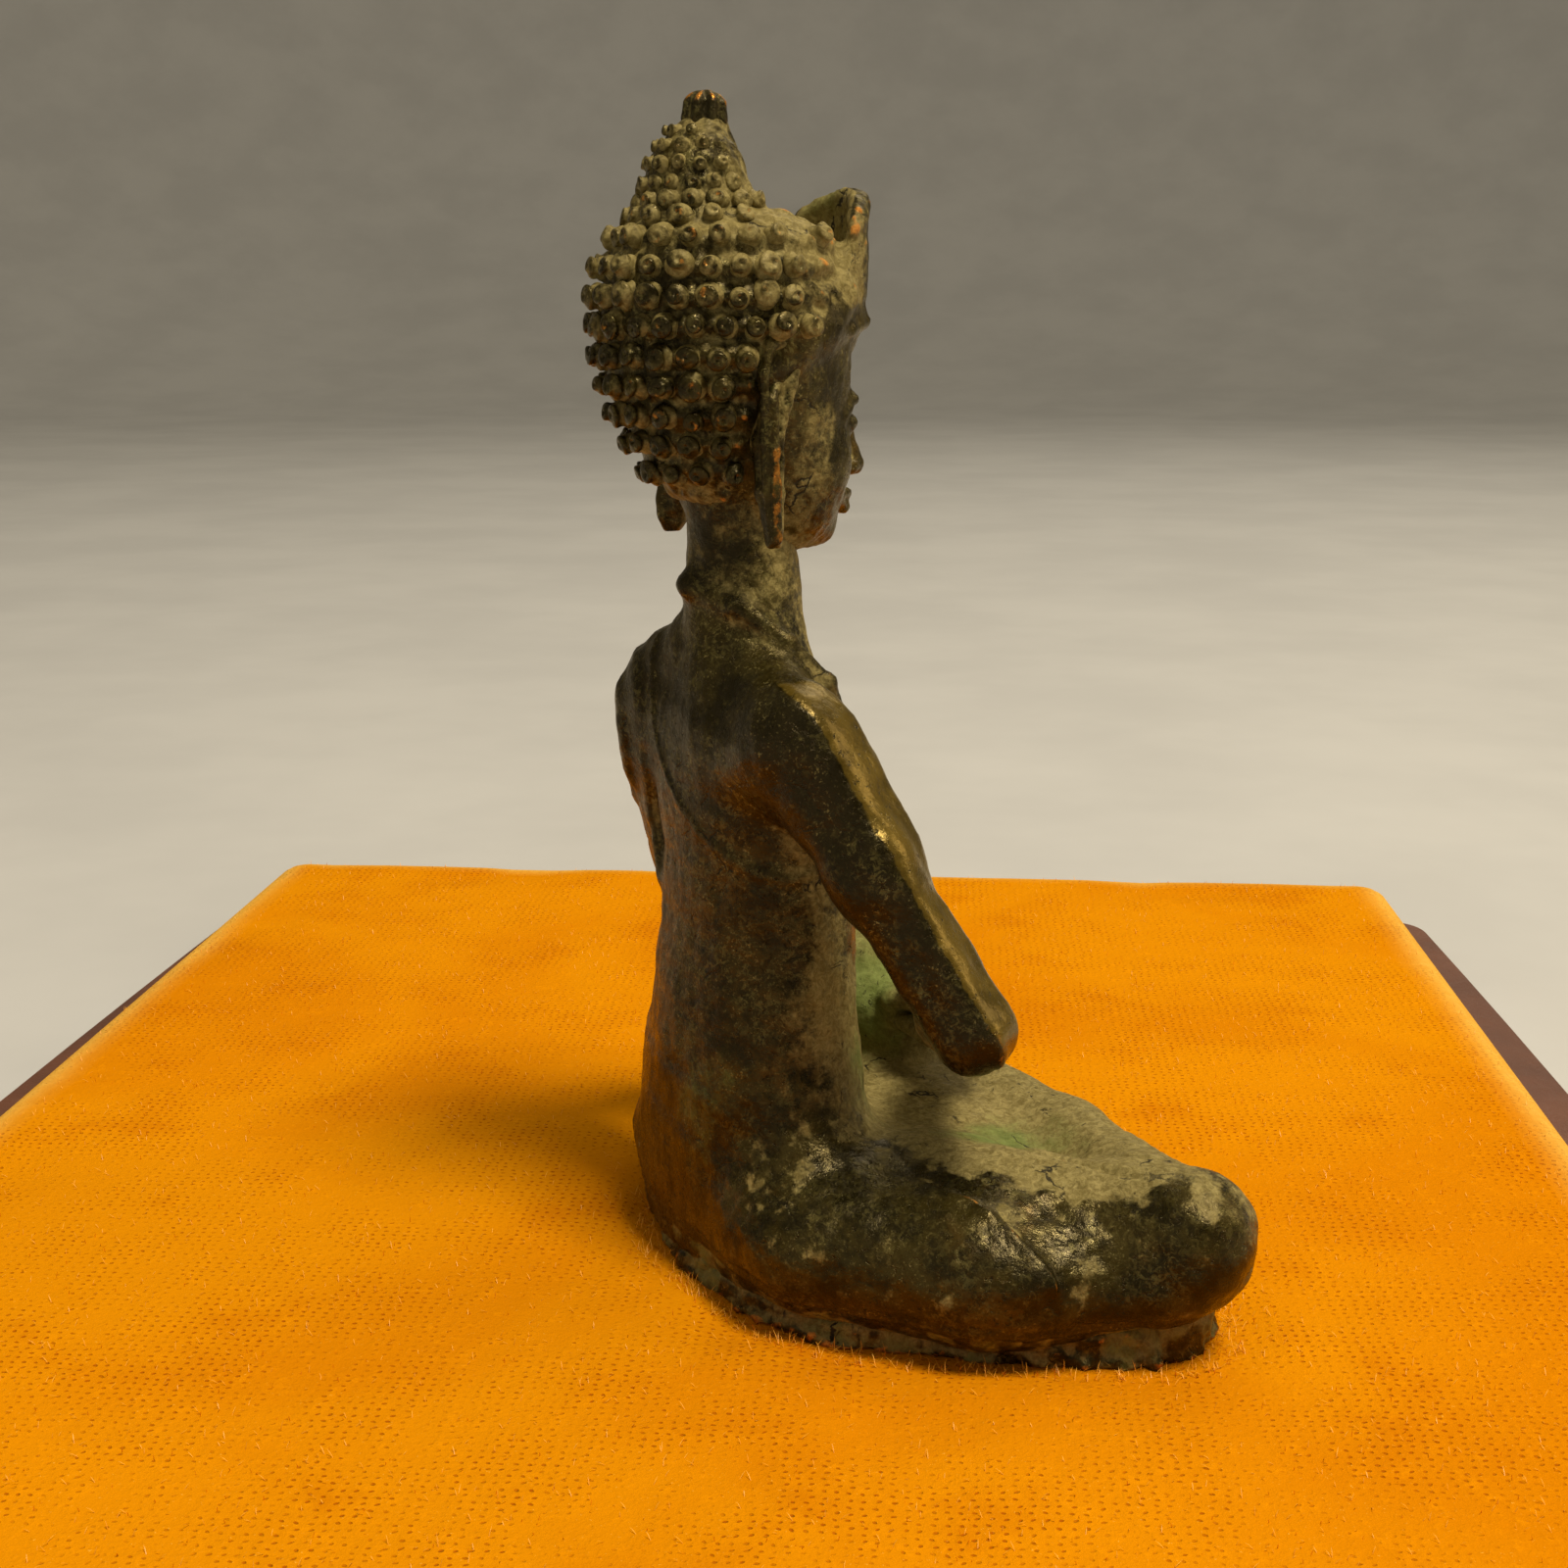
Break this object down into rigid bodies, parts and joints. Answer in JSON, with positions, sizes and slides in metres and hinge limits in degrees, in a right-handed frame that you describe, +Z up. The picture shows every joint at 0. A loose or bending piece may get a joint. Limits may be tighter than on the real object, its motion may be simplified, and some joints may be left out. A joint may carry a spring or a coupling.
{
  "type": "seated bronze figure on velvet pad",
  "caption": "Small aged bronze seated figure with snail-curl hair, crossed legs and hands in the lap, resting on a flat orange velvet display pad over a brown board.",
  "frame": {"origin": "middle of the pad's underside", "axes": "+Z up, +Y towards the pad's far edge, +X to the right when looking along +Y; the figure faces 32 degrees from +X towards +Y"},
  "size_m": [0.14, 0.161, 0.084],
  "materials": {
    "bronze": "aged olive-brown patina with verdigris, dust and copper worn edges",
    "orange_velvet": "short-pile velvet with visible knit rows",
    "brown_board": "smooth brown covering on board",
    "card": "plain",
    "wadding": "soft"
  },
  "bodies": {
    "pad": {"base_board": "brown_board", "card": "card", "wadding": "wadding", "velvet_cover": "orange_velvet"},
    "figure": {"plinth": "bronze", "torso": "bronze", "robe": "bronze", "right_leg": "bronze", "left_leg": "bronze", "lap": "bronze", "right_foot": "bronze", "right_upper_arm": "bronze", "left_upper_arm": "bronze", "right_forearm": "bronze", "left_forearm": "bronze", "right_hand": "bronze", "left_hand": "bronze", "neck": "bronze", "head": "bronze", "right_ear": "bronze", "left_ear": "bronze", "frontlet": "bronze", "ushnisha": "bronze", "finial": "bronze", "hair_row_1": "bronze", "hair_row_2": "bronze", "hair_row_3": "bronze", "hair_row_4": "bronze", "hair_row_5": "bronze", "hair_row_6": "bronze", "hair_row_7": "bronze", "hair_row_8": "bronze", "hair_row_9": "bronze", "ushnisha_row_1": "bronze", "ushnisha_row_2": "bronze", "ushnisha_row_3": "bronze", "ushnisha_row_4": "bronze"}
  },
  "joints": [
    {"name": "figure_lift", "type": "slide", "parent": "pad", "child": "figure", "axis": [0, 0, 1], "range_m": [0, 0.04]}
  ]
}
